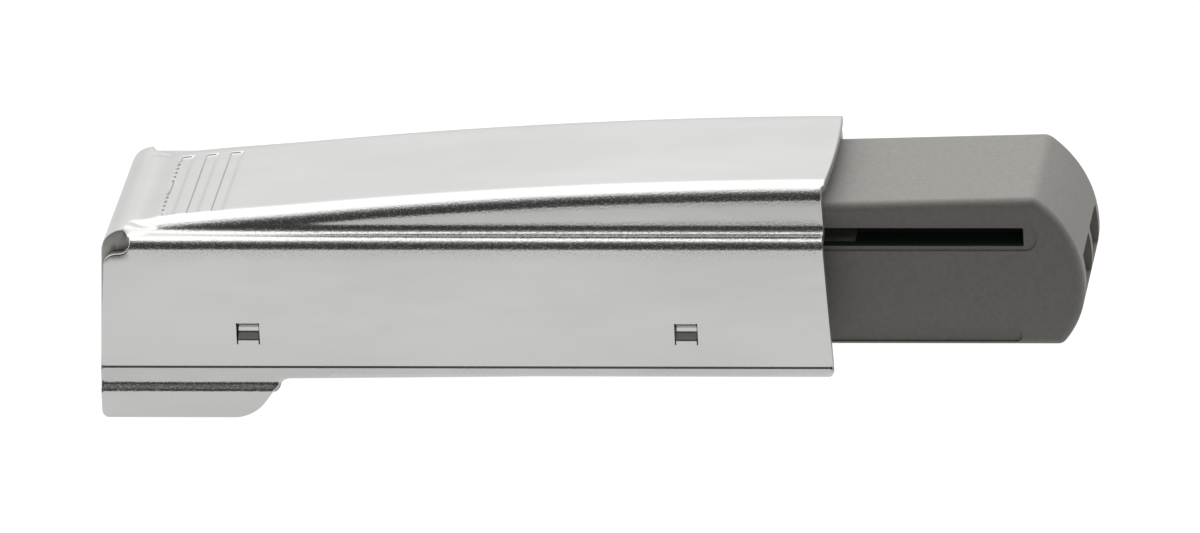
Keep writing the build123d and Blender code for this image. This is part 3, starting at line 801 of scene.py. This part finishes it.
def add_spring():
    """Return spring of round wire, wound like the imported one."""
    packed = nodes["return_spring"].data
    first = [v.co / MM for v in packed.vertices if v.co.x < (SPRING_START + 0.2) * MM]
    centre = sum(first, Vector()) / len(first)
    start = atan2(centre.z - SPRING_AXIS, centre.y)
    pitch = (SPRING_END - SPRING_START) / (SPRING_TURNS * 2 * pi)
    sides = 12
    vertices = []
    steps = SPRING_TURNS * 48
    for step in range(steps + 1):
        turn = 2 * pi * SPRING_TURNS * step / steps
        out = Vector((0, cos(start + turn), sin(start + turn)))
        ahead = Vector((pitch, 0, 0)) + SPRING_RADIUS * Vector((0, -out.z, out.y))
        beside = ahead.normalized().cross(out)
        middle = Vector((SPRING_START + pitch * turn, 0, SPRING_AXIS)) + out * SPRING_RADIUS
        for side in range(sides):
            angle = 2 * pi * side / sides
            ring = out * cos(angle) + beside * sin(angle)
            vertices.append(middle + ring * SPRING_WIRE / 2)
    polygons = []
    for step in range(steps):
        for side in range(sides):
            here = step * sides + side
            beyond = step * sides + (side + 1) % sides
            polygons.append((here, here + sides, beyond + sides, beyond))
    polygons.append(tuple(range(sides)))
    polygons.append(tuple(reversed(range(steps * sides, (steps + 1) * sides))))
    piece = mesh_object("return_spring_wire", vertices, polygons)
    piece.data.materials.append(turned("spring_steel", (0.45, 0.44, 0.42), 0.3))
    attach(piece, "housing_unit")
    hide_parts("return_spring")
    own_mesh(piece)


def dress_inside():
    """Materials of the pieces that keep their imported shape."""
    looks = {
        "plunger": grey_plastic(),
        "carrier": moulded("seat_plastic", (0.12, 0.12, 0.125), 0.5),
        "damper_cylinder": turned("cylinder_metal", (0.75, 0.74, 0.72), 0.3),
        "cylinder_cap": moulded("cap_plastic", (0.05, 0.05, 0.055), 0.45),
        "rod_seal": moulded("seal_rubber", (0.02, 0.02, 0.02), 0.6),
        "seal_washer": moulded("washer_plastic", (0.6, 0.58, 0.52), 0.5),
        "foam_sleeve": moulded("foam", (0.35, 0.33, 0.28), 0.95),
        "piston_rod": turned("bright_steel", (0.62, 0.62, 0.61), 0.12),
        "piston": moulded("piston_plastic", (0.7, 0.68, 0.62), 0.4),
        "piston_ring": moulded("ring_plastic", (0.12, 0.09, 0.05), 0.4),
        "rod_clip": turned("clip_steel", (0.5, 0.49, 0.47), 0.3),
    }
    for name, look in looks.items():
        data = nodes[name].data
        data.materials.clear()
        data.materials.append(look)


def add_camera():
    """Camera at the photograph's place, aimed so that the part lies in the picture as it does there."""
    back = Vector((sin(AZIMUTH) * cos(ELEVATION), -cos(AZIMUTH) * cos(ELEVATION), sin(ELEVATION)))
    level = Vector((cos(AZIMUTH), sin(AZIMUTH), 0))
    upright = back.cross(level)
    right = cos(ROLL) * level - sin(ROLL) * upright
    rising = sin(ROLL) * level + cos(ROLL) * upright
    pixel = MM / PIXELS_PER_MM
    place = LOOK_AT + back * DISTANCE
    middle = LOOK_AT - (right * MOVED_RIGHT + rising * MOVED_UP) * pixel
    axis_z = (place - middle).normalized()
    axis_y = axis_z.cross(right).normalized()
    axis_x = axis_y.cross(axis_z)
    data = bpy.data.cameras.new("camera")
    data.sensor_width = SENSOR_WIDTH
    data.lens = SENSOR_WIDTH * (DISTANCE / MM) * PIXELS_PER_MM / PICTURE_WIDTH
    data.clip_start = DISTANCE / 10
    data.clip_end = DISTANCE * 10
    camera = bpy.data.objects.new("camera", data)
    turn = Matrix((axis_x, axis_y, axis_z)).transposed().to_4x4()
    camera.matrix_world = Matrix.Translation(place) @ turn
    bpy.context.scene.collection.objects.link(camera)
    bpy.context.scene.camera = camera


# Brightness of the studio in the upright plane through the camera, by angle in degrees:
# 0 is the horizon in front of the part, 90 overhead, 180 the horizon behind it.
STUDIO = (
    (-90, 0.2),
    (-20, 0.06),
    (38, 0.05),
    (58, 0.12),
    (72, 0.25),
    (80, 0.9),
    (86, 1.6),
    (140, 1.6),
    (149, 1.25),
    (157, 0.95),
    (170, 0.84),
    (270, 0.8),
)


def add_world():
    """White background for the camera; a softbox above and a dark room in front for the rest."""
    world = bpy.data.worlds.new("studio")
    bpy.context.scene.world = world
    world.use_nodes = True
    tree = world.node_tree
    new = tree.nodes.new
    background = tree.nodes["Background"]
    split = new("ShaderNodeSeparateXYZ")
    tree.links.new(new("ShaderNodeTexCoord").outputs["Generated"], split.inputs[0])

    def math(operation, *values):
        node = new("ShaderNodeMath")
        node.operation = operation
        for socket, value in zip(node.inputs, values):
            if isinstance(value, (int, float)):
                socket.default_value = value
            else:
                tree.links.new(value, socket)
        return node.outputs[0]

    forward = math("MULTIPLY", split.outputs["Y"], -1.0)
    angle = math("ARCTAN2", split.outputs["Z"], forward)
    turned = math("ADD", angle, pi / 2)
    wrapped = math("FLOORED_MODULO", turned, 2 * pi)
    share = math("DIVIDE", wrapped, 2 * pi)
    ramp = new("ShaderNodeFloatCurve")
    curve = ramp.mapping.curves[0]
    top = max(value for _, value in STUDIO)
    while len(curve.points) < len(STUDIO):
        curve.points.new(0.5, 0.5)
    for point, (degrees, value) in zip(curve.points, STUDIO):
        point.location = ((degrees + 90) / 360, value / top)
        point.handle_type = "VECTOR"
    ramp.mapping.update()
    tree.links.new(share, ramp.inputs["Value"])
    # The room is darker to the right of the part
    right = math("MAXIMUM", split.outputs["X"], 0.0)
    dimmed = math("MULTIPLY_ADD", right, -0.65 * top, top)
    lit = math("MULTIPLY", ramp.outputs[0], dimmed)
    seen = new("ShaderNodeLightPath").outputs["Is Camera Ray"]
    unseen = math("SUBTRACT", 1.0, seen)
    strength = math("ADD", math("MULTIPLY", lit, unseen), seen)
    background.inputs["Color"].default_value = (1, 1, 1, 1)
    tree.links.new(strength, background.inputs["Strength"])


FLOOR_FRONT = -72.0


def add_floor():
    """White table top, which ends a little in front of the part."""
    z = cad_low.z / MM - 0.02
    corners = [(-600, FLOOR_FRONT, z), (600, FLOOR_FRONT, z), (600, 600, z), (-600, 600, z)]
    floor = mesh_object("floor", corners, [(0, 1, 2, 3)])
    material = bpy.data.materials.new("floor")
    material.use_nodes = True
    tree = material.node_tree
    shader = tree.nodes["Principled BSDF"]
    shader.inputs["Base Color"].default_value = (0.12, 0.12, 0.12, 1)
    shader.inputs["Roughness"].default_value = 0.8
    shader.inputs["Specular IOR Level"].default_value = 0.0
    shader.inputs["Emission Color"].default_value = (1, 1, 1, 1)
    path = tree.nodes.new("ShaderNodeLightPath")
    glow = 0.32
    for ray, extra in (("Is Glossy Ray", 0.4), ("Is Camera Ray", 0.68)):
        more = tree.nodes.new("ShaderNodeMath")
        more.operation = "MULTIPLY_ADD"
        tree.links.new(path.outputs[ray], more.inputs[0])
        more.inputs[1].default_value = extra
        if isinstance(glow, float):
            more.inputs[2].default_value = glow
        else:
            tree.links.new(glow, more.inputs[2])
        glow = more.outputs[0]
    tree.links.new(glow, shader.inputs["Emission Strength"])
    floor.data.materials.append(material)


bpy.context.scene.view_settings.view_transform = "Standard"
add_camera()
add_world()
add_floor()
add_housing()

add_spring()
dress_inside()
